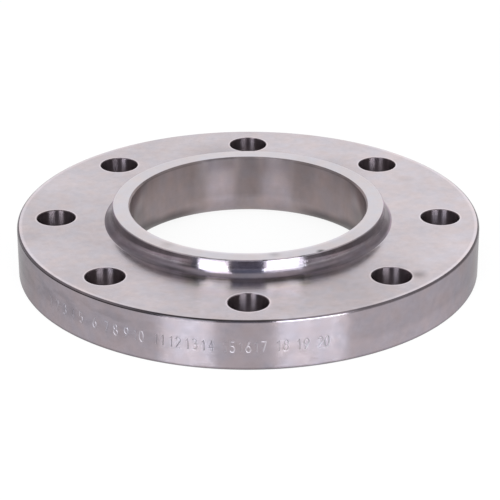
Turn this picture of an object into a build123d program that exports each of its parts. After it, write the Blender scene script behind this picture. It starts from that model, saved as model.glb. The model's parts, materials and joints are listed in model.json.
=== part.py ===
from build123d import *
import math
import os

# Slip-on flange for a pipe line: one forging, turned all over and drilled for a ring of bolts.
# All sizes are in millimetres.
# The origin is the centre of the flat seating face, and +Z runs along the bore towards the hub.

# Bolt holes, which stand on the X and Y axes and between them
bolt_count = 8
bolt_circle_diameter = 190.5
bolt_hole_diameter = 19.05
bolt_hole_edge_break = 0.3

# Ring, which reaches past the bolt circle by one edge distance
bolt_edge_distance = 19.05
ring_thickness = 25.4
rim_edge_radius = 1.3

# Bore, which slides over the pipe from the hub's end
bore_diameter = 116.8
bore_mouth_break = 0.8
bore_corner_radius = 11.2

# Hub, a low collar round the bore on the ring's back face
hub_wall_at_top = 8.8
hub_height = 8.0
hub_taper_angle = 3.0
hub_foot_radius = 4.3
hub_edge_break = 0.5


def half_section():
    """The section to one side of the axis, with its corners rounded and broken as turned.

    X is the distance from the axis and Y is the height above the seating face.
    """
    bore_radius = bore_diameter / 2
    ring_radius = bolt_circle_diameter / 2 + bolt_edge_distance
    hub_top_radius = bore_radius + hub_wall_at_top
    hub_foot_spread = hub_height * math.tan(math.radians(hub_taper_angle))
    overall_length = ring_thickness + hub_height

    face_at_bore = (bore_radius, 0)
    face_at_rim = (ring_radius, 0)
    back_at_rim = (ring_radius, ring_thickness)
    back_at_hub = (hub_top_radius + hub_foot_spread, ring_thickness)
    hub_top_outer = (hub_top_radius, overall_length)
    hub_top_inner = (bore_radius, overall_length)
    outline = [face_at_bore, face_at_rim, back_at_rim, back_at_hub, hub_top_outer, hub_top_inner]

    with BuildSketch(Plane.XZ) as section:
        with BuildLine():
            Polyline(*outline, close=True)
        make_face()

        def corner(point):
            return section.vertices().sort_by_distance(Vector(*point))[0]

        fillet(corner(face_at_bore), bore_corner_radius)
        fillet(corner(back_at_hub), hub_foot_radius)
        fillet(corner(face_at_rim), rim_edge_radius)
        fillet(corner(back_at_rim), rim_edge_radius)
        chamfer(corner(hub_top_outer), hub_edge_break)
        chamfer(corner(hub_top_inner), bore_mouth_break)
    return section.sketch


def bolt_hole_cutter():
    """One straight bolt hole with a broken edge at both faces, along +Z from the seating face."""
    hole_radius = bolt_hole_diameter / 2
    mouth_radius = hole_radius + bolt_hole_edge_break
    with BuildPart() as cutter:
        with BuildSketch(Plane.XZ):
            with BuildLine():
                Polyline(
                    (0, 0),
                    (mouth_radius, 0),
                    (hole_radius, bolt_hole_edge_break),
                    (hole_radius, ring_thickness - bolt_hole_edge_break),
                    (mouth_radius, ring_thickness),
                    (0, ring_thickness),
                    close=True,
                )
            make_face()
        revolve(axis=Axis.Z)
    return cutter.part


def slip_on_flange():
    """The turned body with its bolt holes drilled on the bolt circle."""
    hole = bolt_hole_cutter()
    with BuildPart() as body:
        add(half_section())
        revolve(axis=Axis.Z)
        with PolarLocations(bolt_circle_diameter / 2, bolt_count):
            add(hole, mode=Mode.SUBTRACT)
    return body.part


os.makedirs("parts", exist_ok=True)
flange = slip_on_flange()
export_step(flange, "parts/flange.step")
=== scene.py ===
"""A slip-on flange: a turned, drilled and stamped steel body on a pale studio floor."""

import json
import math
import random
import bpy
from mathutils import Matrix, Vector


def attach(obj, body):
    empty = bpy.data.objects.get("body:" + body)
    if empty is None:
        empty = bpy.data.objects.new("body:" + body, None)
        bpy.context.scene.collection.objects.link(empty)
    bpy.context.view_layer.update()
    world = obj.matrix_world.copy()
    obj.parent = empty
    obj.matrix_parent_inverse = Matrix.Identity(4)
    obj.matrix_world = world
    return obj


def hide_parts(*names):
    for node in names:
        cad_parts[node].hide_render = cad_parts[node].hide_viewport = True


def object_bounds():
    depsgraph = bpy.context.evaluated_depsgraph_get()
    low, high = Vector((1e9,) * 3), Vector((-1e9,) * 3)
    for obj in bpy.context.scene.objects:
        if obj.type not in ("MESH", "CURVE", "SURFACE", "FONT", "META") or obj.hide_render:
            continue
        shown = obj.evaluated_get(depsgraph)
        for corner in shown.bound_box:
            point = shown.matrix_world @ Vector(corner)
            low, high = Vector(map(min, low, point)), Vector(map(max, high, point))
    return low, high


bl_info = {
    "name": "Slip-on flange",
    "version": (1, 0, 0),
    "blender": (4, 5, 0),
    "location": "3D View > Sidebar > Flange",
    "description": "Makes a turned, drilled and stamped steel flange, and a stage to show it on",
    "category": "Object",
}

import bmesh
import bpy
from mathutils import Matrix, Vector

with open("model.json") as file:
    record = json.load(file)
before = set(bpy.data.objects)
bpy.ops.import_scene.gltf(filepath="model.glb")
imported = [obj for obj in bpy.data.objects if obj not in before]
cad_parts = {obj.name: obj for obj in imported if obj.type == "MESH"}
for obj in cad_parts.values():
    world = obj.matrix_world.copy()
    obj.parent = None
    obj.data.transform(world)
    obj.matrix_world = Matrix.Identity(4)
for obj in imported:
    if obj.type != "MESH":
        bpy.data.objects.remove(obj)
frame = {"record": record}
cad_low, cad_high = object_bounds()

MM = 0.001
MOUNTS = {mount["name"]: mount for mount in frame["record"]["mounts"]}
BORE_RADIUS = MOUNTS["bore"]["dims"]["r_mm"] * MM
BOLT_CIRCLE_RADIUS = MOUNTS["bolt_circle"]["dims"]["pcd_mm"] / 2 * MM
BOLT_COUNT = MOUNTS["bolt_circle"]["dims"]["count"]
BOLT_HOLE_RADIUS = MOUNTS["bolt_circle"]["dims"]["hole_r_mm"] * MM
RING_THICKNESS = MOUNTS["bolting_face"]["pos_m"][2]
RING_RADIUS = cad_high.x
OVERALL_LENGTH = cad_high.z


# Node trees


class Socket:
    """An output socket in a Python expression on values. Each operator adds its Math node."""

    def __init__(self, graph, output):
        self.graph = graph
        self.output = output

    def __add__(self, other):
        return self.graph.math("ADD", self, other)

    def __radd__(self, other):
        return self.graph.math("ADD", other, self)

    def __sub__(self, other):
        return self.graph.math("SUBTRACT", self, other)

    def __rsub__(self, other):
        return self.graph.math("SUBTRACT", other, self)

    def __mul__(self, other):
        return self.graph.math("MULTIPLY", self, other)

    def __rmul__(self, other):
        return self.graph.math("MULTIPLY", other, self)

    def __truediv__(self, other):
        return self.graph.math("DIVIDE", self, other)

    def __rtruediv__(self, other):
        return self.graph.math("DIVIDE", other, self)

    def __gt__(self, other):
        return self.graph.math("GREATER_THAN", self, other)

    def __lt__(self, other):
        return self.graph.math("LESS_THAN", self, other)


class Node:
    """A node that was added, whose outputs are read by name or number."""

    def __init__(self, graph, made):
        self.graph = graph
        self.made = made

    def __getitem__(self, key):
        for output in self.made.outputs:
            if output.identifier == key:
                return Socket(self.graph, output)
        return Socket(self.graph, self.made.outputs[key])


class Graph:
    """Writes one node tree: a material's, the world's or a geometry group's."""

    def __init__(self, tree):
        self.tree = tree
        self.group_input = None

    def node(self, kind, settings=None, inputs=None):
        """Adds a node: its settings are set first, and then the values or links of its sockets."""
        made = self.tree.nodes.new(kind)
        for name, setting in (settings or {}).items():
            if name == "cases":
                # How many values an Index Switch holds
                while len(made.index_switch_items) < setting:
                    made.index_switch_items.new()
            else:
                setattr(made, name, setting)
        for key, given in (inputs or {}).items():
            self.feed(self.socket_of(made, key), given)
        return Node(self, made)

    def socket_of(self, made, key):
        for socket in made.inputs:
            if socket.identifier == key:
                return socket
        return made.inputs[key]

    def feed(self, socket, given):
        if isinstance(given, Socket):
            self.tree.links.new(given.output, socket)
        else:
            socket.default_value = given

    def math(self, operation, *given):
        return self.node("ShaderNodeMath", {"operation": operation}, dict(enumerate(given)))[0]

    def vector(self, x=0.0, y=0.0, z=0.0):
        return self.node("ShaderNodeCombineXYZ", {}, {"X": x, "Y": y, "Z": z})[0]

    def parts(self, vector):
        split = self.node("ShaderNodeSeparateXYZ", {}, {"Vector": vector})
        return split["X"], split["Y"], split["Z"]

    def rise(self, value, low, high, first=0.0, last=1.0):
        """Goes smoothly from first to last while the value goes from low to high."""
        return self.node(
            "ShaderNodeMapRange",
            {"interpolation_type": "SMOOTHSTEP"},
            {"Value": value, "From Min": low, "From Max": high, "To Min": first, "To Max": last},
        )["Result"]

    def noise(self, place, size, detail=3.0, rough=0.55):
        """Noise from 0 to 1 whose patches are about as large as the given size."""
        inputs = {"Vector": place, "Scale": 1.0 / size, "Detail": detail, "Roughness": rough}
        return self.node("ShaderNodeTexNoise", {}, inputs)["Fac"]

    def distance(self, x, y):
        return self.math("SQRT", x * x + y * y)

    def from_hole(self, x, y, count, circle_radius):
        """Distance from the nearest axis, of a count of bolt holes on a circle round the Z axis."""
        radius = self.distance(x, y)
        angle = self.math("ARCTAN2", y, x)
        share = 2 * math.pi / count
        folded = angle - share * self.math("ROUND", angle / share)
        aside = radius * self.math("SINE", folded)
        beyond = radius * self.math("COSINE", folded) - circle_radius
        return self.distance(aside, beyond)

    def named_input(self, label, kind, default, subtype=None):
        """A named input of a geometry group, with its default value."""
        made = self.tree.interface.new_socket(label, in_out="INPUT", socket_type=kind)
        if subtype:
            made.subtype = subtype
        if default is not None:
            made.default_value = default
        if self.group_input is None:
            self.group_input = self.tree.nodes.new("NodeGroupInput")
        return Socket(self, self.group_input.outputs[made.identifier]), made.identifier

    def choose(self, data_type, values):
        """A field that takes the first value on point 0, the second on point 1, and so on."""
        index = self.node("GeometryNodeInputIndex")[0]
        settings = {"data_type": data_type, "cases": len(values)}
        inputs = {"Index": index}
        inputs.update({f"Item_{number}": value for number, value in enumerate(values)})
        return self.node("GeometryNodeIndexSwitch", settings, inputs)["Output"]

    def curve_through(self, places, closed):
        """A curve of straight stretches through the given places."""
        points = self.node(
            "GeometryNodePoints",
            {},
            {"Count": len(places), "Position": self.choose("VECTOR", places)},
        )["Points"]
        curve = self.node("GeometryNodePointsToCurves", {}, {"Points": points})["Curves"]
        if closed:
            curve = self.node("GeometryNodeSetSplineCyclic", {}, {"Geometry": curve, "Cyclic": True})[0]
        return curve


def bare_material(name):
    """A material whose tree is still empty."""
    material = bpy.data.materials.new(name)
    material.use_nodes = True
    material.node_tree.nodes.clear()
    return material


# The turned body


def length(name, default, description):
    return bpy.props.FloatProperty(
        name=name, default=default, min=0.0, precision=5, unit="LENGTH", description=description
    )


class FlangeShape(bpy.types.PropertyGroup):
    """The sizes of the turned and drilled body."""

    ring_radius: length("Ring radius", RING_RADIUS, "From the axis to the rim")
    ring_thickness: length("Ring thickness", RING_THICKNESS, "Seating face to back face")
    overall_length: length("Overall length", OVERALL_LENGTH, "Seating face to the hub's top")
    rim_break: length("Rim edge radius", 1.3 * MM, "Rounding of both edges of the rim")
    bore_radius: length("Bore radius", BORE_RADIUS, "From the axis to the bore's wall")
    bore_corner: length("Bore corner radius", 11.2 * MM, "Rounding from bore to seating face")
    mouth_break: length("Bore mouth break", 0.8 * MM, "Chamfer of the bore at the hub's top")
    hub_wall: length("Hub wall", 8.8 * MM, "From the bore to the hub's side, at the hub's top")
    hub_spread: length("Hub spread", 0.42 * MM, "How much wider the hub is at its foot")
    hub_foot: length("Hub foot radius", 4.3 * MM, "Rounding from the hub's side to the back face")
    hub_break: length("Hub edge break", 0.5 * MM, "Chamfer at the hub's outer edge")
    softness: length("Edge softness", 0.15 * MM, "Rounding of each chamfer's own edges")
    bolt_circle: length("Bolt circle radius", BOLT_CIRCLE_RADIUS, "From axis to bolt hole's axis")
    bolt_hole: length("Bolt hole radius", BOLT_HOLE_RADIUS, "From its axis to its wall")
    hole_break: length("Bolt hole edge break", 0.3 * MM, "Chamfer at both ends of a bolt hole")
    bolt_count: bpy.props.IntProperty(
        name="Bolt holes", default=BOLT_COUNT, min=1, description="Bolt holes on the bolt circle"
    )
    turn_steps: bpy.props.IntProperty(
        name="Steps round the body", default=384, min=16, description="Facets round the turned body"
    )
    hole_steps: bpy.props.IntProperty(
        name="Steps round a hole", default=64, min=8, description="Facets round each bolt hole"
    )


class FlangeMarks(bpy.types.PropertyGroup):
    """Plain numerals stamped in the rim."""

    stroke: length("Stroke width", 0.85 * MM, "Width of a stroke at the rim's surface")
    depth: length("Depth", 0.20 * MM, "How deep a stroke is stamped")


NUMERAL_HEIGHT = 5.2 * MM
NUMERAL_WIDTH = 2.5 * MM
NUMERAL_PITCH = NUMERAL_WIDTH * 1.28
NUMERAL_MIDDLE = 12.2 * MM

# How far the numerals stray from their places, as stamps held by hand do: round the rim and in
# their lean, both in degrees, and in their height, in millimetres
STRAY_SEED = 7
STRAY_ROUND = 0.25
STRAY_LEAN = 4
STRAY_HEIGHT = 0.15

# The stamped numbers, group by group: the angle of the group's first and last number from the
# front, in degrees towards +X, and the numbers
STAMPED_GROUPS = (
    (-54.6, -51.6, (1, 2)),
    (-48.6, -45.8, (3, 4)),
    (-42.9, -38.4, (5, 6)),
    (-35.0, -26.3, (7, 8, 9, 10)),
    (-20.8, -9.6, (11, 12, 13, 14)),
    (-4.4, 2.6, (15, 16, 17)),
    (7.6, 17.4, (18, 19, 20)),
)


def arc(middle_x, middle_y, wide, high, start, end, steps):
    """Points along an ellipse's arc. Angles are in degrees, from its right-hand side and up."""
    turns = [math.radians(start + (end - start) * step / steps) for step in range(steps + 1)]
    return [(middle_x + wide * math.cos(turn), middle_y + high * math.sin(turn)) for turn in turns]


# Each figure's strokes in a box 1 wide and 1 high
FIGURE_STROKES = {
    "0": [arc(0.5, 0.5, 0.42, 0.5, 90, 450, 16)],
    "1": [[(0.2, 0.78), (0.5, 1.0), (0.5, 0.0)]],
    "2": [arc(0.5, 0.72, 0.4, 0.28, 165, -35, 8) + [(0.1, 0.0), (0.92, 0.0)]],
    "3": [arc(0.46, 0.75, 0.36, 0.25, 150, -90, 9), arc(0.46, 0.26, 0.42, 0.26, 90, -150, 9)],
    "4": [[(0.7, 0.0), (0.7, 1.0), (0.05, 0.3), (0.98, 0.3)]],
    "5": [[(0.85, 1.0), (0.2, 1.0), (0.14, 0.56)] + arc(0.46, 0.31, 0.42, 0.31, 110, -145, 9)],
    "6": [[(0.75, 1.0), (0.22, 0.52)] + arc(0.5, 0.3, 0.4, 0.3, 160, 500, 14)],
    "7": [[(0.08, 1.0), (0.92, 1.0), (0.35, 0.0)]],
    "8": [arc(0.5, 0.76, 0.34, 0.24, 270, -90, 12), arc(0.5, 0.26, 0.42, 0.26, 90, 450, 14)],
    "9": [[(0.25, 0.0), (0.78, 0.48)] + arc(0.5, 0.7, 0.4, 0.3, -20, 320, 14)],
}


def numeral_paths():
    """The middle lines of all the stamped strokes, laid flat: x is the length along the rim."""
    hand = random.Random(STRAY_SEED)

    def stray(most):
        return hand.uniform(-most, most)

    lines = bpy.data.curves.new("numeral_paths", "CURVE")
    lines.dimensions = "3D"
    for first, last, numbers in STAMPED_GROUPS:
        for order, number in enumerate(numbers):
            share = order / (len(numbers) - 1)
            angle = math.radians(first + (last - first) * share + stray(STRAY_ROUND))
            figures = str(number)
            for place, figure in enumerate(figures):
                left = RING_RADIUS * angle + (place - (len(figures) - 1) / 2) * NUMERAL_PITCH
                lean = math.radians(stray(STRAY_LEAN))
                lift = stray(STRAY_HEIGHT) * MM
                for stroke in FIGURE_STROKES[figure]:
                    spline = lines.splines.new("POLY")
                    spline.points.add(len(stroke) - 1)
                    for point, (across, up) in zip(spline.points, stroke):
                        flat = Vector(((across - 0.5) * NUMERAL_WIDTH, (up - 0.5) * NUMERAL_HEIGHT))
                        flat.rotate(Matrix.Rotation(lean, 2))
                        point.co = (left + flat.x, NUMERAL_MIDDLE + lift + flat.y, 0, 1)
    paths = bpy.data.objects.new("numeral_paths", lines)
    bpy.context.scene.collection.objects.link(paths)
    return paths


def group_inputs(graph, settings):
    """A named input for each number of a property group: the sockets, and what they are given."""
    sockets, given = {}, {}
    for name in settings.__annotations__:
        prop = settings.bl_rna.properties[name]
        whole = prop.type == "INT"
        kind = "NodeSocketInt" if whole else "NodeSocketFloat"
        subtype = None if whole else "DISTANCE"
        sockets[name], identifier = graph.named_input(prop.name, kind, prop.default, subtype)
        given[identifier] = getattr(settings, name)
    return sockets, given


# Facets along the section's rounded corners
BORE_CORNER_STEPS = 14
RIM_STEPS = 7
FOOT_STEPS = 12
SOFTENED_STEPS = 2

# Radius of the circle that the section is swept along. The flange's sizes don't depend on it
SWEEP_RADIUS = 50 * MM

# How far a cutter reaches past the surface that it cuts
PAST_FACE = 2 * MM
PAST_RIM = 0.5 * MM

# How much of the rim, from the back face down, has the finish and the painted light and shade of the
# rim's edge
EDGE_BAND = 0.85 * MM


def section_corners(size):
    """The section's corners in order: distance from the axis, height, rounding and its steps."""
    hub_top = size["bore_radius"] + size["hub_wall"]
    hub_foot = hub_top + size["hub_spread"]
    rim, thick, top = size["ring_radius"], size["ring_thickness"], size["overall_length"]
    rim_break, hub_break, mouth_break = size["rim_break"], size["hub_break"], size["mouth_break"]
    bore, soft = size["bore_radius"], size["softness"]
    return (
        (bore, 0.0, size["bore_corner"], BORE_CORNER_STEPS),
        (rim, 0.0, rim_break, RIM_STEPS),
        (rim, thick, rim_break, RIM_STEPS),
        (hub_foot, thick, size["hub_foot"], FOOT_STEPS),
        (hub_top, top - hub_break, soft, SOFTENED_STEPS),
        (hub_top - hub_break, top, soft, SOFTENED_STEPS),
        (bore + mouth_break, top, soft, SOFTENED_STEPS),
        (bore, top - mouth_break, soft, SOFTENED_STEPS),
    )


def revolve(graph, corners, steps):
    """Turns a closed section, given by its corners, round the Z axis."""
    places = [graph.vector(radius - SWEEP_RADIUS, 0.0 - height) for radius, height, _, _ in corners]
    rounded = graph.node(
        "GeometryNodeFilletCurve",
        {"mode": "POLY"},
        {
            "Curve": graph.curve_through(places, closed=True),
            "Count": graph.choose("INT", [steps_of for _, _, _, steps_of in corners]),
            "Radius": graph.choose("FLOAT", [rounding for _, _, rounding, _ in corners]),
        },
    )["Curve"]
    circle = graph.node(
        "GeometryNodeCurvePrimitiveCircle",
        {"mode": "RADIUS"},
        {"Resolution": steps, "Radius": SWEEP_RADIUS},
    )["Curve"]
    path = graph.node("GeometryNodeSetCurveNormal", {"mode": "Z_UP"}, {"Curve": circle})["Curve"]
    swept = graph.node(
        "GeometryNodeCurveToMesh", {}, {"Curve": path, "Profile Curve": rounded}
    )["Mesh"]
    return graph.node("GeometryNodeFlipFaces", {}, {"Mesh": swept})["Mesh"]


def bolt_hole_cutters(graph, size):
    """A double-ended cutter on each place of the bolt circle."""
    hole, hole_break, thick = size["bolt_hole"], size["hole_break"], size["ring_thickness"]
    wide = hole + hole_break + PAST_FACE
    heights = [-PAST_FACE, hole_break, thick - hole_break, thick + PAST_FACE]
    places = [graph.vector(0.0, 0.0, height) for height in heights]
    path = graph.curve_through(places, closed=False)
    circle = graph.node(
        "GeometryNodeCurvePrimitiveCircle",
        {"mode": "RADIUS"},
        {"Resolution": size["hole_steps"], "Radius": 1.0},
    )["Curve"]
    widths = graph.choose("FLOAT", [wide, hole, hole, wide])
    cutter = graph.node(
        "GeometryNodeCurveToMesh",
        {},
        {"Curve": path, "Profile Curve": circle, "Scale": widths, "Fill Caps": True},
    )["Mesh"]
    centres = graph.node(
        "GeometryNodeMeshCircle",
        {"fill_type": "NONE"},
        {"Vertices": size["bolt_count"], "Radius": size["bolt_circle"]},
    )["Mesh"]
    copies = graph.node(
        "GeometryNodeInstanceOnPoints", {}, {"Points": centres, "Instance": cutter}
    )["Instances"]
    return graph.node("GeometryNodeRealizeInstances", {}, {"Geometry": copies})["Geometry"]


def numeral_cutters(graph, size, mark, paths):
    """A three-cornered bar along each stroke, point inwards, all bent round the rim."""
    lines = graph.node(
        "GeometryNodeObjectInfo", {"transform_space": "ORIGINAL"}, {"Object": paths}
    )["Geometry"]
    lines = graph.node("GeometryNodeSetCurveNormal", {"mode": "Z_UP"}, {"Curve": lines})["Curve"]
    reach = mark["stroke"] / 2 * (mark["depth"] + PAST_RIM) / mark["depth"]
    corners = [
        graph.vector(0.0 - reach, -PAST_RIM),
        graph.vector(reach, -PAST_RIM),
        graph.vector(0.0, mark["depth"]),
    ]
    section = graph.curve_through(corners, closed=True)
    bars = graph.node(
        "GeometryNodeCurveToMesh",
        {},
        {"Curve": lines, "Profile Curve": section, "Fill Caps": True},
    )["Mesh"]
    bars = graph.node(
        "GeometryNodeMeshBoolean",
        {"operation": "UNION", "solver": "EXACT"},
        {"Mesh 2": bars, "Self Intersection": True},
    )["Mesh"]
    along, up, out = graph.parts(graph.node("GeometryNodeInputPosition")["Position"])
    angle = along / size["ring_radius"]
    radius = size["ring_radius"] + out
    place = graph.vector(
        radius * graph.math("SINE", angle), 0.0 - radius * graph.math("COSINE", angle), up
    )
    return graph.node("GeometryNodeSetPosition", {}, {"Geometry": bars, "Position": place})[0]


def region_selections(graph, size):
    """Which faces belong to which finish, read at each face's middle. Later ones win."""
    x, y, z = graph.parts(graph.node("GeometryNodeInputPosition")["Position"])
    radius = graph.distance(x, y)
    from_hole = graph.from_hole(x, y, size["bolt_count"], size["bolt_circle"])

    small = 0.02 * MM
    rim, thick, top = size["ring_radius"], size["ring_thickness"], size["overall_length"]
    bore, corner, rim_break = size["bore_radius"], size["bore_corner"], size["rim_break"]
    hub_outside = bore + size["hub_wall"] - size["hub_break"] + small
    between_faces = (z > small) * (z < thick - small)
    off_the_rim = (radius > rim - rim_break - small) * between_faces
    plain_rim = off_the_rim * (z > rim_break) * (z < thick - rim_break)
    bore_wall = radius < bore + size["mouth_break"] - small
    bore_corner = (radius < bore + corner) * (z < corner) * (z > small)
    return {
        "seating": z < small,
        "hub": (z > thick + small) * (radius > hub_outside),
        "hub_top": (z > top - small) * (radius < hub_outside),
        "bore": bore_wall + bore_corner,
        "rim": off_the_rim,
        "edge": off_the_rim * (z > thick - EDGE_BAND),
        "stamp": plain_rim * (radius < rim - small),
        "hole": (from_hole < size["bolt_hole"] + size["hole_break"] - small) * between_faces,
    }


def body_tree(shape, marks, paths, finishes):
    """Turns the section, drills the bolt holes, stamps the numerals and finishes each surface.

    Returns the tree, and what a modifier gives to each of its inputs.
    """
    tree = bpy.data.node_groups.new("Turned flange", "GeometryNodeTree")
    graph = Graph(tree)
    tree.interface.new_socket("Geometry", in_out="OUTPUT", socket_type="NodeSocketGeometry")
    size, given = group_inputs(graph, shape)
    mark, given_marks = group_inputs(graph, marks)
    given.update(given_marks)
    strokes, identifier = graph.named_input("Numeral paths", "NodeSocketObject", None)
    given[identifier] = paths
    material = {}
    for region, finish in finishes.items():
        label = f"{region} finish".replace("_", " ").capitalize()
        material[region], identifier = graph.named_input(label, "NodeSocketMaterial", None)
        given[identifier] = finish

    body = revolve(graph, section_corners(size), size["turn_steps"])
    cutters = (bolt_hole_cutters(graph, size), numeral_cutters(graph, size, mark, strokes))
    for cutter in cutters:
        body = graph.node(
            "GeometryNodeMeshBoolean",
            {"operation": "DIFFERENCE", "solver": "MANIFOLD"},
            {"Mesh 1": body, "Mesh 2": cutter},
        )["Mesh"]

    body = graph.node("GeometryNodeRealizeInstances", {}, {"Geometry": body})["Geometry"]
    selections = region_selections(graph, size)
    for region in finishes:
        inputs = {"Geometry": body, "Material": material[region]}
        if region in selections:
            inputs["Selection"] = selections[region]
        body = graph.node("GeometryNodeSetMaterial", {}, inputs)[0]
    graph.node("NodeGroupOutput", {}, {"Geometry": body})
    return tree, given


def plain_mesh(thing):
    """Turns an object's modifiers into its own mesh and removes them."""
    depsgraph = bpy.context.evaluated_depsgraph_get()
    result = bpy.data.meshes.new_from_object(thing.evaluated_get(depsgraph))
    thing.modifiers.clear()
    old = thing.data
    thing.data = result
    bpy.data.meshes.remove(old)
    result.name = thing.name
    for slot in reversed(range(len(result.materials))):
        if result.materials[slot] is None:
            result.materials.pop(index=slot)


def axis_of(region, place, shape):
    """The axis that a surface was turned or drilled about."""
    if region != "hole":
        return Vector((0, 0, 0))
    share = 2 * math.pi / shape.bolt_count
    angle = share * round(math.atan2(place.y, place.x) / share)
    return Vector((math.cos(angle), math.sin(angle), 0)) * shape.bolt_circle


# Faces that meet at less than this share their slope, as one rounded surface
SHARED_SLOPE_LIMIT = math.radians(26)


def set_turned_normals(mesh, regions, shape):
    """Gives each corner the normal of the surface as its tool turned it, cuts or no cuts.

    A face's slope is the angle of its normal, out from the axis and up. From the seating face
    round the bore's corner it runs from minus a quarter turn to minus half a turn, so the bore's
    wall has minus half a turn too.
    """
    inwards = 0.9 * math.pi
    axes, slopes = [], []
    shared = [[] for _ in mesh.vertices]
    for face in mesh.polygons:
        region = regions[face.material_index]
        axis = axis_of(region, face.center, shape)
        out = (face.center - axis).to_2d().normalized()
        slope = math.atan2(face.normal.z, face.normal.to_2d().dot(out))
        if region in ("seating", "bore") and slope > inwards:
            slope -= 2 * math.pi
        axes.append(axis)
        slopes.append(slope)
        if region != "stamp":
            for vertex in face.vertices:
                shared[vertex].append((region == "hole", slope, face.area))

    normals = []
    for face, axis, slope in zip(mesh.polygons, axes, slopes):
        region = regions[face.material_index]
        for vertex in face.vertices:
            if region == "stamp":
                normals.append(face.normal)
                continue
            near = [
                (other, area)
                for drilled, other, area in shared[vertex]
                if drilled == (region == "hole") and abs(other - slope) < SHARED_SLOPE_LIMIT
            ]
            total = sum(area for _, area in near)
            mean = sum(other * area for other, area in near) / total if total else slope
            out = (mesh.vertices[vertex].co - axis).to_2d().normalized() * math.cos(mean)
            normals.append(Vector((out.x, out.y, math.sin(mean))))
    mesh.shade_smooth()
    mesh.normals_split_custom_set(normals)


# Finishes, and painted light and shade


def colour(name, default, description):
    return bpy.props.FloatVectorProperty(
        name=name, subtype="COLOR", size=3, min=0, max=1, default=default, description=description
    )


class FlangeFinish(bpy.types.PropertyGroup):
    """The steel's colours, surface by surface, with painted shade in the darker ones."""

    # The hub's side, the rim, its edge, the bore, the stamped numerals and the bolt holes hold painted
    # shade: their colours are darker than the back face's to stand for the shade and the dark
    # reflections on them
    back: colour("Back face", (0.56, 0.503, 0.535), "Colour of the turned back face")
    seating: colour("Seating face", (0.50, 0.46, 0.48), "Colour of the seating face")
    hub: colour("Hub's side", (0.203, 0.181, 0.197), "Colour of the hub's side and foot")
    hub_top: colour("Hub's top", (0.675, 0.63, 0.665), "Colour of the hub's top")
    bore: colour("Bore", (0.232, 0.193, 0.198), "Colour of the bore and of its rounded corner")
    rim: colour("Rim", (0.350, 0.306, 0.335), "Colour of the rim")
    edge: colour("Rim's edge", (0.070, 0.060, 0.067), "Colour of the rim's rounded upper edge")
    stamp: colour("Stamped numerals", (0.30, 0.268, 0.288), "Colour inside the stamped numerals")
    hole: colour("Bolt holes", (0.150, 0.121, 0.134), "Colour of the drilled walls")


# How each surface was left: its roughness, how much the tool's lines stretch a highlight across
# them, whether the lines lie at one radius or at one height, the lines' pitch, how strong the
# lines, the mottling and the clouds are in its colour, and how bright it stays seen edge-on
SURFACES = {
    "back": (0.135, 1.00, "radius", 0.55 * MM, 0.05, 0.26, 0.22, 1.0),
    "seating": (0.36, 0.80, "radius", 0.80 * MM, 0.14, 0.12, 0.20, 1.0),
    "hub": (0.16, 1.00, "height", 0.30 * MM, 0.10, 0.40, 0.30, 1.0),
    "hub_top": (0.30, 0.80, "radius", 0.45 * MM, 0.06, 0.12, 0.10, 1.0),
    "bore": (0.30, 0.85, "height", 0.50 * MM, 0.08, 0.24, 0.24, 0.8),
    "rim": (0.212, 1.00, "height", 0.50 * MM, 0.06, 0.30, 0.20, 0.6),
    "edge": (0.25, 0.50, "height", 0.30 * MM, 0.10, 0.40, 0.40, 1.0),
    "stamp": (0.60, 0.00, "height", 0.30 * MM, 0.00, 0.30, 0.00, 1.0),
    "hole": (0.33, 1.00, "height", 0.60 * MM, 0.14, 0.50, 0.20, 1.0),
}

MOTTLE_SIZE = 4 * MM
MOTTLE_IN_ROUGHNESS = 0.06
CLOUD_SIZE = 22 * MM

# All the steel wanders between two casts, in patches: red, green and blue as factors
CAST_SIZE = 9 * MM
WARM_CAST = (1.03, 0.995, 0.965)
COOL_CAST = (0.97, 1.005, 1.035)

# The relief: its height and strength, and how much of it the lines and the mottling make
RELIEF_HEIGHT = 0.02 * MM
RELIEF_STRENGTH = 0.25
LINES_IN_RELIEF = 0.8
MOTTLE_IN_RELIEF = 0.4

# A quarter turn lays the stretched highlights across lines that run round the axis
HIGHLIGHT_TURN = 0.25


class Surface(Graph):
    """A material's tree, with the flange's own coordinates to hand.

    X, y and z are the flange's own, radius is the distance from its axis, and aside is the
    distance from its middle, to the left or to the right as the camera sees it.
    """

    def __init__(self, tree, shape):
        super().__init__(tree)
        self.shape = shape
        self.place = self.node("ShaderNodeTexCoord")["Object"]
        self.x, self.y, self.z = self.parts(self.place)
        self.radius = self.distance(self.x, self.y)
        self.aside = self.math("ABSOLUTE", self.x)

    def ramp(self, value, low, high, first=0.0, last=1.0):
        """Goes smoothly from first to last between two places, given in millimetres."""
        return self.rise(value, low * MM, high * MM, first, last)

    def between(self, value, start, full, fall, end):
        """1 from full to fall and nothing beyond start and end, all in millimetres."""
        return self.ramp(value, start, full) * self.ramp(value, fall, end, 1.0, 0.0)

    def around(self, stretch):
        """Coordinates that draw a pattern on a turned wall out along its height, so many times."""
        return self.vector(self.x, self.y, self.z / stretch)

    def before(self):
        """1 at the hub's front, falling to nothing at its sides."""
        return self.ramp(self.y, -50, -12, 1.0, 0.0)

    def lamp_band(self):
        """1 on the two stretches of the bore that face the lamps."""
        return self.between(self.aside, 5, 9, 19, 24)

    def left_glint(self):
        """1 below the left-hand highlight on the hub, which its foot and the face throw back."""
        return self.between(self.x, -21, -18.5, -10, -7.5)

    def spot(self, x, y, reach):
        """1 at a place seen from above, falling to nothing at its reach, all in millimetres."""
        away = self.distance(self.x - x * MM, self.y - y * MM)
        return self.ramp(away, 0.0, reach, 1.0, 0.0)
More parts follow.
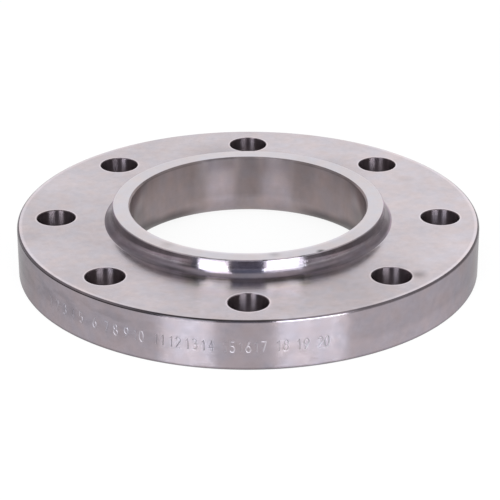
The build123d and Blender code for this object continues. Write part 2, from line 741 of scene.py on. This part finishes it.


# Most of these marks are painted light and shade: highlights, reflections and shade in the steel's
# colour, beside a few smudges, stains, scuffs, a nick and streaks
# The marks that follow are judged. Each function gives a factor on its surface's colour,
# and the places in it are in millimetres from the axis, the middle or the seating face

# Smudges, and spots of painted light and shade, on the back face: x, y, how far they reach, and how
# dark they are, where a minus makes a pale one
SMUDGES_AND_PAINTED_LIGHT = (
    (45, -80, 50, 0.19),
    (-20, -82, 26, 0.09),
    (-52, -90, 28, -0.10),
    (-14, 78, 28, 0.20),
    (45, 62, 24, 0.15),
    (-98, -46, 36, -0.13),
    (-96, 44, 36, -0.12),
    (102, -42, 34, -0.06),
    (80, -66, 6.5, 0.40),
    (72, -59, 5, 0.10),
    (81, 48, 6, 0.10),
    (-106, -22, 10, 0.07),
    (16, -79, 9, 0.10),
    (-14, 75, 20, 0.10),
    (12, -86, 8, 0.14),
    (13, -101, 7, 0.10),
)


def back_marks(surface):
    """Pale hole rims; painted light, shade and the hub's reflection on the back face; and smudges."""
    x, y, radius, aside = surface.x, surface.y, surface.radius, surface.aside
    shape, ramp, between = surface.shape, surface.ramp, surface.between
    hole_edge = shape.bolt_hole + shape.hole_break
    from_hole = surface.from_hole(x, y, shape.bolt_count, shape.bolt_circle)
    pale_hole_rims = surface.rise(from_hole, hole_edge + 0.2 * MM, hole_edge + 1.1 * MM, 0.28, 0.0)
    # Painted light: the face grows paler towards the right and the back
    paler_to_right, paler_to_back = x * 0.7, y * 0.35

    # Painted reflection and painted shade: the hub's dark foot and its left-hand highlight, as the face
    # before it mirrors them
    in_front = ramp(y, -62, -42, 1.0, 0.0)
    foot_shade = ramp(radius, 73.5, 76.5, 0.32, 0.0) * in_front
    left_patch = surface.left_glint() * ramp(radius, 73, 75.5, 0.45, -0.03)
    middle = ramp(aside, 14, 20, 1.0, 0.0) * ramp(radius, 73, 75, 0.5, 1.0)
    middle_shade = middle * ramp(radius, 75.5, 83, 0.28, 0.0) * in_front
    outer = between(aside, 19, 25, 36, 50) * ramp(radius, 72.8, 74, 0.08, 0.42)
    outer_shade = outer * ramp(radius, 76.3, 78.3, 1.0, 0.0) * in_front

    marks = 1.0 + pale_hole_rims + paler_to_right + paler_to_back
    marks = marks - foot_shade + left_patch - middle_shade - outer_shade
    for spot_x, spot_y, reach, dark in SMUDGES_AND_PAINTED_LIGHT:
        marks = marks * (1.0 - surface.spot(spot_x, spot_y, reach) * dark)
    # Painted highlight: a paler border along the face's outer edge, towards the sides
    pale_border = ramp(radius, 111.2, 112.6) * ramp(aside, 40, 80) * 0.25
    return marks + pale_border


def glint_corners(surface):
    """Painted shade that rounds the corners of the hub's two highlights, and painted light at a waist.
    """
    x, z, ramp, between = surface.x, surface.z, surface.ramp, surface.between
    above = ramp(z, 31.6, 32.3)
    waist = between(z, 29.3, 29.8, 30.7, 31.2)

    left_top = between(x, -24.5, -22.5, -10.5, -9.5) * above * 0.30
    left_end = between(x, -11.5, -10.3, -9.3, -8.8) * ramp(z, 30.2, 30.8) * 0.25
    left_start = between(x, -24.6, -24.0, -23.2, -22.6)
    left_start = left_start * (between(z, 27.7, 28.3, 28.9, 29.3) * 0.42 - waist * 0.85)
    left = (1.0 - left_top) * (1.0 - left_end) * (1.0 - left_start)

    right_foot = between(x, 7.4, 8.6, 26.6, 27.2) * between(z, 27.2, 27.8, 28.6, 29.6) * 0.55
    right_start = between(x, 6.3, 7.0, 8.0, 9.4) * ramp(z, 29.0, 29.5) * 0.54
    right_top = between(x, 6.3, 7.5, 8.5, 11.0) * ramp(z, 31.6, 32.6) * 0.12
    right_end = between(x, 23.2, 24.6, 26.4, 27.0) * (0.28 + above * 0.20) * ramp(z, 27.4, 28.2)
    right_waist = between(x, 26.2, 26.7, 27.6, 28.8) * waist * 0.9
    right = (1.0 - right_foot) * (1.0 - right_start) * (1.0 - right_top)
    right = right * (1.0 - right_end + right_waist)
    return 1.0 - (1.0 - left * right) * surface.before()


def hub_marks(surface):
    """Painted light and shade on the hub's flanks, the folds of its foot and its crest, and streaks."""
    x, y, z, radius, aside = surface.x, surface.y, surface.z, surface.radius, surface.aside
    ramp, between, before = surface.ramp, surface.between, surface.before()
    # All but the streaks is painted light and shade: paler and darker bands on the flanks, light and
    # shade in the foot's folds, and the crest's painted highlight
    beside = ramp(aside, 24, 34)

    top = ramp(z + aside * 0.062, 32.6, 33.4)
    low = ramp(z, 27.6, 29.6)
    painted_flank_light = (1.0 - top) * low * beside * ramp(aside, 36, 67, 1.8, 0.0)
    paler = between(aside, 28, 34, 39, 47) * 0.32
    shade = top * (0.15 - 0.42 * beside + paler) + (1.0 - beside) * 0.25
    side = (shade * low + painted_flank_light) * ramp(y, -35, 5, 1.0, 0.0)

    foot = ramp(radius, 68.4, 69.4) * (0.08 + 0.16 * beside)
    hollow = between(radius, 67.9, 68.7, 69.7, 70.7) * beside * 0.16
    fold = ramp(radius, 68.9, 69.6, 0.0, 0.24) - ramp(radius, 70.2, 71.2, 0.0, 0.70)
    fold = fold * between(aside, 20, 27, 36, 46)
    middle_fold = ramp(aside, 10, 15, 0.22, 0.0) * ramp(radius, 70.6, 71.3)
    foot = (foot + hollow + fold - middle_fold) * before
    # Painted reflection of the left-hand highlight in the foot
    thrown_back = surface.left_glint() * ramp(radius, 70.2, 71.0) * 1.1

    upper = ramp(z, 28, 29.5)
    flank = ramp(y, -5, 1, 0.36, 0.0) * upper + ramp(y, 4, 10, 0.30, 0.0) * (1.0 - upper)
    flank = flank * ramp(y, -27, -20) * ramp(x, -10, 10, 1.4, 1.0)
    behind = ramp(y, -6, 2) * upper * ramp(x, -10, 10, 0.50, 0.62)
    right_end = ramp(radius, 70.0, 70.7) * ramp(x, 66, 69) * 0.9

    lip = ramp(z, 32.9, 33.1)
    crest = lip * beside + lip * between(x, 9, 14, 20, 25) * 0.9
    crest = crest - ramp(z, 32.3, 32.9) * between(x, -24, -20, -10, -7) * 0.45
    # Painted dark reflection beside the left-hand highlight
    painted_dark_reflection = between(x, -35, -30, -26, -23) * between(z, 27, 28, 29.2, 30.2) * 0.5

    marks = 1.0 + side - foot + thrown_back - flank + behind + right_end + crest - painted_dark_reflection
    streaks = surface.noise(surface.around(0.2), 6 * MM) - 0.5
    return marks * (1.0 + streaks * beside * 0.5) * glint_corners(surface)


def hub_top_marks(surface):
    """A nick and two scuffs on the hub's top, a painted highlight on its inner edge at the front, and
    its front a little darker.
    """
    before = surface.before()
    nick = surface.spot(34.6, -57.4, 3.4) * 0.95
    scuffs = surface.spot(12.5, -60.5, 4) * 0.22 + surface.spot(-38, -49, 5) * 0.15
    # Painted highlight along the inner edge, at the front only
    inner_edge = surface.ramp(surface.radius, 59.2, 61.6, 0.20, 0.0) * before
    return 0.96 - nick - scuffs - before * 0.04 + inner_edge


def bore_marks(surface):
    """Painted light and shade on the bore's mouth, corner, lip and ends and where it faces the lamps;
    and streaks.
    """
    x, y, z, aside, ramp = surface.x, surface.y, surface.z, surface.aside, surface.ramp
    # Painted light and shade: paler beside the middle, the corner paler in the middle and darker at the
    # sides, the mouth and the lip darker, and the ends darker low and paler high
    beside = ramp(aside, 20, 38)
    middle_corner = ramp(z, 9, 14, 0.25, 0.0) * (1.0 - beside)
    side_corner = ramp(z - ramp(aside, 44, 52, 0.0, 2.5 * MM), 5, 11, 0.75, 0.0) * beside
    band = surface.lamp_band()
    mouth = ramp(z, 17, 31) * (0.10 + 0.28 * band) - 0.08 * band
    mouth = mouth + ramp(z, 25, 30) * band * ramp(x, -8, 8, 0.14, 0.04)
    lip = ramp(z, 31.8, 32.4) * ramp(y, 8, 25) * ramp(aside, 20, 34, 0.08, 0.36)
    ends = ramp(aside, 51, 56) * ramp(z, 18, 26, -0.35, 0.7)
    marks = 1.0 + 0.25 * beside + middle_corner - side_corner - mouth - lip + ends
    streaks = surface.noise(surface.around(5.0), 10 * MM)
    return marks * (0.80 + 0.40 * streaks)


def rim_marks(surface):
    """Stains on the rim's left, a paler stretch low on its right, and painted shade along its edges."""
    x, z, ramp = surface.x, surface.z, surface.ramp
    patches = surface.noise(surface.around(0.35), 14 * MM, detail=4.0, rough=0.6)
    stain = surface.rise(patches, 0.40, 0.60, 0.06, 0.20)
    stain = stain * ramp(z, 8, 12) * ramp(z, 18, 22, 1.0, 0.4) * ramp(x, -58, -36, 1.0, 0.0)
    low_right = ramp(z, 7, 11, 0.12, 0.0) * ramp(x, 40, 55)
    # Painted shade along the upper and the lower edge
    upper_edge = ramp(z, 24.1, 24.35) * ramp(x, -18, -4, 0.85, 0.35)
    lower_edge = ramp(z, 0.4, 2.0, 0.5, 0.0)
    return 1.0 - stain + low_right - upper_edge - lower_edge


def edge_marks(surface):
    """Painted highlight and shade along the rim's upper edge, from its left end to its right."""
    x, ramp = surface.x, surface.ramp
    far_left = ramp(x, -70, -40, 1.5, 0.0)
    left = ramp(x, -18, -4, 0.60, 0.85)
    dip = surface.between(x, -30, -24, -14, -8) * 0.25
    bright = ramp(x, 9, 17, 0.0, 2.6) - ramp(x, 42, 52, 0.0, 1.6)
    return left + far_left - dip + bright


# Painted light and shade, with some smudges, stains, scuffs, a nick and streaks, for each surface
MARKS_AND_PAINTED_LIGHT = {
    "back": back_marks,
    "hub": hub_marks,
    "hub_top": hub_top_marks,
    "bore": bore_marks,
    "rim": rim_marks,
    "edge": edge_marks,
}


def back_cast(surface):
    """Painted tint: the green and the blue, as factors, of the patches that the highlights throw."""
    patches = surface.between(surface.aside, 6, 9, 26, 32)
    patches = patches * surface.ramp(surface.radius, 79, 86, 1.0, 0.0) * surface.before()
    return 1.0 + patches * 0.02, 1.0 - patches * 0.10


def hub_cast(surface):
    """Painted tint: the green and the blue, as factors, of the hub's dark middle, its foot and its
    ends.
    """
    middle = surface.ramp(surface.aside, 6, 9, 1.0, 0.0) * surface.before()
    foot = surface.ramp(surface.z, 27.2, 28.6, 1.0, 0.0) * (1.0 - middle)
    ends = surface.ramp(surface.y, -30, -15) * (1.0 - foot * 0.6)
    return 1.0 - foot * 0.06 - ends * 0.12, 1.0 + middle * 0.07 - foot * 0.01


def bore_cast(surface):
    """Painted tint: the green and the blue, as factors, of the stretches that face the lamps."""
    return 1.0, 0.992 + surface.lamp_band() * 0.03


CASTS = {"back": back_cast, "hub": hub_cast, "bore": bore_cast}


def steel_colour(surface, region, base, light):
    """The steel's colour with its warm and cool patches and any painted tint, at a given light."""
    warm, cool = [
        (*(part * factor for part, factor in zip(base, cast)), 1)
        for cast in (WARM_CAST, COOL_CAST)
    ]
    patches = surface.noise(surface.place, CAST_SIZE, detail=2.0)
    tint = surface.node(
        "ShaderNodeMix",
        {"data_type": "RGBA"},
        {"Factor_Float": surface.rise(patches, 0.22, 0.78), "A_Color": warm, "B_Color": cool},
    )["Result_Color"]
    if region in CASTS:
        green, blue = CASTS[region](surface)
        tint = surface.node(
            "ShaderNodeVectorMath",
            {"operation": "MULTIPLY"},
            {0: tint, 1: surface.vector(1.0, green, blue)},
        )["Vector"]
    return surface.node(
        "ShaderNodeVectorMath", {"operation": "SCALE"}, {"Vector": tint, "Scale": light}
    )["Vector"]


def steel(region, base, shape):
    """Bright steel with the marks of its tool, and painted light and shade in its colour."""
    rough, stretch, across, pitch, lines_by, mottle_by, cloud_by, edge_on = SURFACES[region]
    material = bare_material(f"{region}_steel")
    surface = Surface(material.node_tree, shape)
    line = surface.radius if across == "radius" else surface.z
    lines = surface.node(
        "ShaderNodeTexNoise",
        {"noise_dimensions": "1D"},
        {"W": line / pitch, "Scale": 1.0, "Detail": 2.0, "Roughness": 0.6},
    )["Fac"]
    mottle = surface.noise(surface.place, MOTTLE_SIZE, detail=4.0, rough=0.6)
    cloud = surface.noise(surface.place, CLOUD_SIZE)
    light = 1.0 + (lines - 0.5) * lines_by + (mottle - 0.5) * mottle_by + (cloud - 0.5) * cloud_by
    # The marks paint light and shade into the colour
    if region in MARKS_AND_PAINTED_LIGHT:
        light = light * MARKS_AND_PAINTED_LIGHT[region](surface)
    height = lines * LINES_IN_RELIEF + mottle * MOTTLE_IN_RELIEF
    relief = surface.node(
        "ShaderNodeBump",
        {},
        {"Strength": RELIEF_STRENGTH, "Distance": RELIEF_HEIGHT, "Height": height},
    )["Normal"]
    shader = surface.node(
        "ShaderNodeBsdfPrincipled",
        {},
        {
            "Base Color": steel_colour(surface, region, base, light),
            "Metallic": 1.0,
            "Roughness": rough + (mottle - 0.5) * MOTTLE_IN_ROUGHNESS,
            "Specular Tint": (edge_on, edge_on, edge_on, 1),
            "Normal": relief,
            "Anisotropic": stretch,
            "Anisotropic Rotation": HIGHLIGHT_TURN,
        },
    )["BSDF"]
    surface.node("ShaderNodeOutputMaterial", {}, {"Surface": shader})
    return material


class FLANGE_OT_make_body(bpy.types.Operator):
    """Make the turned, drilled and stamped body in place of the plain one"""

    bl_idname = "flange.make_body"
    bl_label = "Make the body"

    def execute(self, context):
        shape = context.scene.flange_shape
        marks = context.scene.flange_marks
        finish = context.scene.flange_finish
        finishes = {region: steel(region, getattr(finish, region), shape) for region in SURFACES}
        paths = numeral_paths()
        tree, given = body_tree(shape, marks, paths, finishes)
        body = bpy.data.objects.new("turned_flange", bpy.data.meshes.new("turned_flange"))
        context.scene.collection.objects.link(body)
        modifier = body.modifiers.new("Turned flange", "NODES")
        modifier.node_group = tree
        for identifier, value in given.items():
            modifier[identifier] = value
        plain_mesh(body)
        bpy.data.objects.remove(paths)
        if not body.data.polygons:
            raise RuntimeError("the turned body came out empty")
        regions = [material.name.removesuffix("_steel") for material in body.data.materials]
        set_turned_normals(body.data, regions, shape)
        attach(body, "root")
        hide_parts("flange")
        return {"FINISHED"}


# The stage


class FlangeStage(bpy.types.PropertyGroup):
    """The floor, the lamps and the camera."""

    floor_radius: length("Floor radius", 8.0, "How far the floor reaches")
    camera_distance: length("Camera distance", 1.14986, "From the camera to the flange's origin")
    camera_elevation: bpy.props.FloatProperty(
        name="Camera elevation", default=math.radians(25.302), subtype="ANGLE",
        description="Height of the camera above the horizon",
    )
    camera_roll: bpy.props.FloatProperty(
        name="Camera roll", default=math.radians(-0.107), subtype="ANGLE",
        description="How far the camera is turned about its own line of sight",
    )
    lens: bpy.props.FloatProperty(
        name="Lens", default=165.25, unit="CAMERA", description="Focal length on a 36 mm wide sensor"
    )


# The picture's width and height, and where the flange's origin lies in it, from its upper left
# corner, all in pixels
PICTURE_SIZE = 500
ORIGIN_PIXEL = (248.23, 263.67)

SENSOR_WIDTH = 36.0
FARTHEST_SEEN = 50.0

WHITE = (1, 1, 1, 1)
FLOOR_WHITE = (0.9, 0.9, 0.9, 1)
FLOOR_DROP = 0.1 * MM
FLOOR_FACETS = 128

# The share of plain white in what the camera and the steel see of the floor. The rest is shaded
FLOOR_GLOW = 0.9

# Directions are in degrees from the front, towards +X

# Dark cards, bent round the flange: from and to, the lowest and the highest angle above the
# horizon, and the shade. A facet is so many degrees wide
FLAG_DISTANCE = 2.6
FLAG_FACET = 5
FLAGS = (
    ("front_flag", -46, 46, 0, 48, (0.36, 0.385, 0.48)),
    ("left_flag", -158, -46, 0, 35, (0.70, 0.675, 0.69)),
    ("right_flag", 46, 150, 0, 35, (0.70, 0.69, 0.69)),
)

# Upright area lamps: the direction, the width, the heights of both ends, and the glow, which is
# what a mirror of the lamp shows
LAMP_DISTANCE = 2.0
LAMP_COLOUR = (0.93, 1.0, 1.04)
LAMPS = (
    ("left_softbox", -27.75, 0.84, 0.0, 0.95, 14.0),
    ("left_middle_softbox", -27.75, 0.84, 0.95, 1.55, 3.0),
    ("left_high_softbox", -27.75, 0.84, 1.55, 2.50, 6.5),
    ("right_softbox", 28.8, 1.17, 0.0, 0.95, 14.0),
    ("right_high_softbox", 28.8, 1.17, 0.95, 1.56, 2.6),
)


def away_to(direction):
    """The level direction from the axis, given in degrees from the front."""
    turn = math.radians(direction)
    return Vector((math.sin(turn), -math.cos(turn), 0))


def make_floor(radius):
    mesh = bpy.data.meshes.new("floor")
    shape = bmesh.new()
    bmesh.ops.create_circle(shape, cap_ends=True, segments=FLOOR_FACETS, radius=radius)
    bmesh.ops.translate(shape, verts=shape.verts, vec=(0, 0, -FLOOR_DROP))
    shape.to_mesh(mesh)
    shape.free()
    mesh.materials.append(floor_paint())
    floor = bpy.data.objects.new("floor", mesh)
    bpy.context.scene.collection.objects.link(floor)


def floor_paint():
    """Paint that the camera and the reflections see as white, with the flange's soft shadow."""
    material = bare_material("white_floor")
    graph = Graph(material.node_tree)
    path = graph.node("ShaderNodeLightPath")
    seen = graph.math("MAXIMUM", path["Is Camera Ray"], path["Is Glossy Ray"])
    seen = graph.math("MAXIMUM", seen, path["Is Transmission Ray"])
    plain = graph.node("ShaderNodeBsdfDiffuse", {}, {"Color": FLOOR_WHITE})["BSDF"]
    glow = graph.node("ShaderNodeEmission", {}, {"Color": WHITE, "Strength": 1.0})["Emission"]
    shader = graph.node(
        "ShaderNodeMixShader", {}, {"Fac": seen * FLOOR_GLOW, "Shader": plain, "Shader_001": glow}
    )["Shader"]
    graph.node("ShaderNodeOutputMaterial", {}, {"Surface": shader})
    return material


def make_world(scene):
    world = bpy.data.worlds.new("studio")
    scene.world = world
    world.use_nodes = True
    world.node_tree.nodes.clear()
    graph = Graph(world.node_tree)
    sky = graph.node("ShaderNodeBackground", {}, {"Color": WHITE})["Background"]
    graph.node("ShaderNodeOutputWorld", {}, {"Surface": sky})


def make_flag(name, start, end, low, high, shade):
    """A dark card that only reflections see."""
    steps = (end - start) // FLAG_FACET
    mesh = bpy.data.meshes.new(name)
    shape = bmesh.new()
    columns = []
    for step in range(steps + 1):
        place = away_to(start + (end - start) * step / steps) * FLAG_DISTANCE
        heights = [FLAG_DISTANCE * math.tan(math.radians(rise)) for rise in (low, high)]
        columns.append([shape.verts.new(place + Vector((0, 0, height))) for height in heights])
    for first, second in zip(columns, columns[1:]):
        shape.faces.new((first[0], second[0], second[1], first[1]))
    shape.to_mesh(mesh)
    shape.free()
    material = bare_material(name)
    graph = Graph(material.node_tree)
    card = graph.node("ShaderNodeEmission", {}, {"Color": (*shade, 1), "Strength": 1.0})["Emission"]
    graph.node("ShaderNodeOutputMaterial", {}, {"Surface": card})
    mesh.materials.append(material)
    flag = bpy.data.objects.new(name, mesh)
    bpy.context.scene.collection.objects.link(flag)
    flag.visible_camera = False
    flag.visible_diffuse = False
    flag.visible_shadow = False


def make_softbox(name, direction, width, low, high, glow):
    """An upright lamp that faces the flange's axis."""
    lamp = bpy.data.lights.new(name, "AREA")
    lamp.shape = "RECTANGLE"
    lamp.color = LAMP_COLOUR
    lamp.size = width
    lamp.size_y = high - low
    lamp.energy = glow * math.pi * width * (high - low)
    softbox = bpy.data.objects.new(name, lamp)
    back = away_to(direction)
    softbox.location = back * LAMP_DISTANCE + Vector((0, 0, (low + high) / 2))
    softbox.rotation_euler = back.to_track_quat("Z", "Y").to_euler()
    softbox.visible_camera = False
    bpy.context.scene.collection.objects.link(softbox)


def make_camera(scene, stage):
    data = bpy.data.cameras.new("camera")
    camera = bpy.data.objects.new("camera", data)
    scene.collection.objects.link(camera)
    elevation = stage.camera_elevation
    back = Vector((0, -math.cos(elevation), math.sin(elevation)))
    camera.location = back * stage.camera_distance
    aim = (-back).to_track_quat("-Z", "Y").to_matrix().to_4x4()
    camera.rotation_euler = (aim @ Matrix.Rotation(stage.camera_roll, 4, "Z")).to_euler()
    data.sensor_width = SENSOR_WIDTH
    data.lens = stage.lens
    data.shift_x = 0.5 - ORIGIN_PIXEL[0] / PICTURE_SIZE
    data.shift_y = ORIGIN_PIXEL[1] / PICTURE_SIZE - 0.5
    data.clip_end = FARTHEST_SEEN
    scene.camera = camera


class FLANGE_OT_make_stage(bpy.types.Operator):
    """Make the floor, the lamps, the surroundings and the camera"""

    bl_idname = "flange.make_stage"
    bl_label = "Make the stage"

    def execute(self, context):
        scene = context.scene
        stage = scene.flange_stage
        make_floor(stage.floor_radius)
        make_world(scene)
        for flag in FLAGS:
            make_flag(*flag)
        for lamp in LAMPS:
            make_softbox(*lamp)
        make_camera(scene, stage)
        scene.view_settings.view_transform = "Standard"
        return {"FINISHED"}


class FLANGE_PT_panel(bpy.types.Panel):
    """Lists the flange's settings and operators"""

    bl_label = "Flange"
    bl_idname = "FLANGE_PT_panel"
    bl_space_type = "VIEW_3D"
    bl_region_type = "UI"
    bl_category = "Flange"

    def draw(self, context):
        scene = context.scene
        self.show(scene.flange_shape, scene.flange_marks, scene.flange_finish)
        self.layout.operator(FLANGE_OT_make_body.bl_idname)
        self.show(scene.flange_stage)
        self.layout.operator(FLANGE_OT_make_stage.bl_idname)

    def show(self, *groups):
        """Shows every setting of the given groups."""
        for settings in groups:
            for name in settings.__annotations__:
                self.layout.prop(settings, name)


CLASSES = (
    FlangeShape,
    FlangeMarks,
    FlangeFinish,
    FlangeStage,
    FLANGE_OT_make_body,
    FLANGE_OT_make_stage,
    FLANGE_PT_panel,
)


def register():
    for each in CLASSES:
        bpy.utils.register_class(each)
    bpy.types.Scene.flange_shape = bpy.props.PointerProperty(type=FlangeShape)
    bpy.types.Scene.flange_marks = bpy.props.PointerProperty(type=FlangeMarks)
    bpy.types.Scene.flange_finish = bpy.props.PointerProperty(type=FlangeFinish)
    bpy.types.Scene.flange_stage = bpy.props.PointerProperty(type=FlangeStage)


def unregister():
    del bpy.types.Scene.flange_stage
    del bpy.types.Scene.flange_finish
    del bpy.types.Scene.flange_marks
    del bpy.types.Scene.flange_shape
    for each in reversed(CLASSES):
        bpy.utils.unregister_class(each)


def main():
    register()
    bpy.ops.flange.make_body()
    bpy.ops.flange.make_stage()


if __name__ == "__main__":
    main()
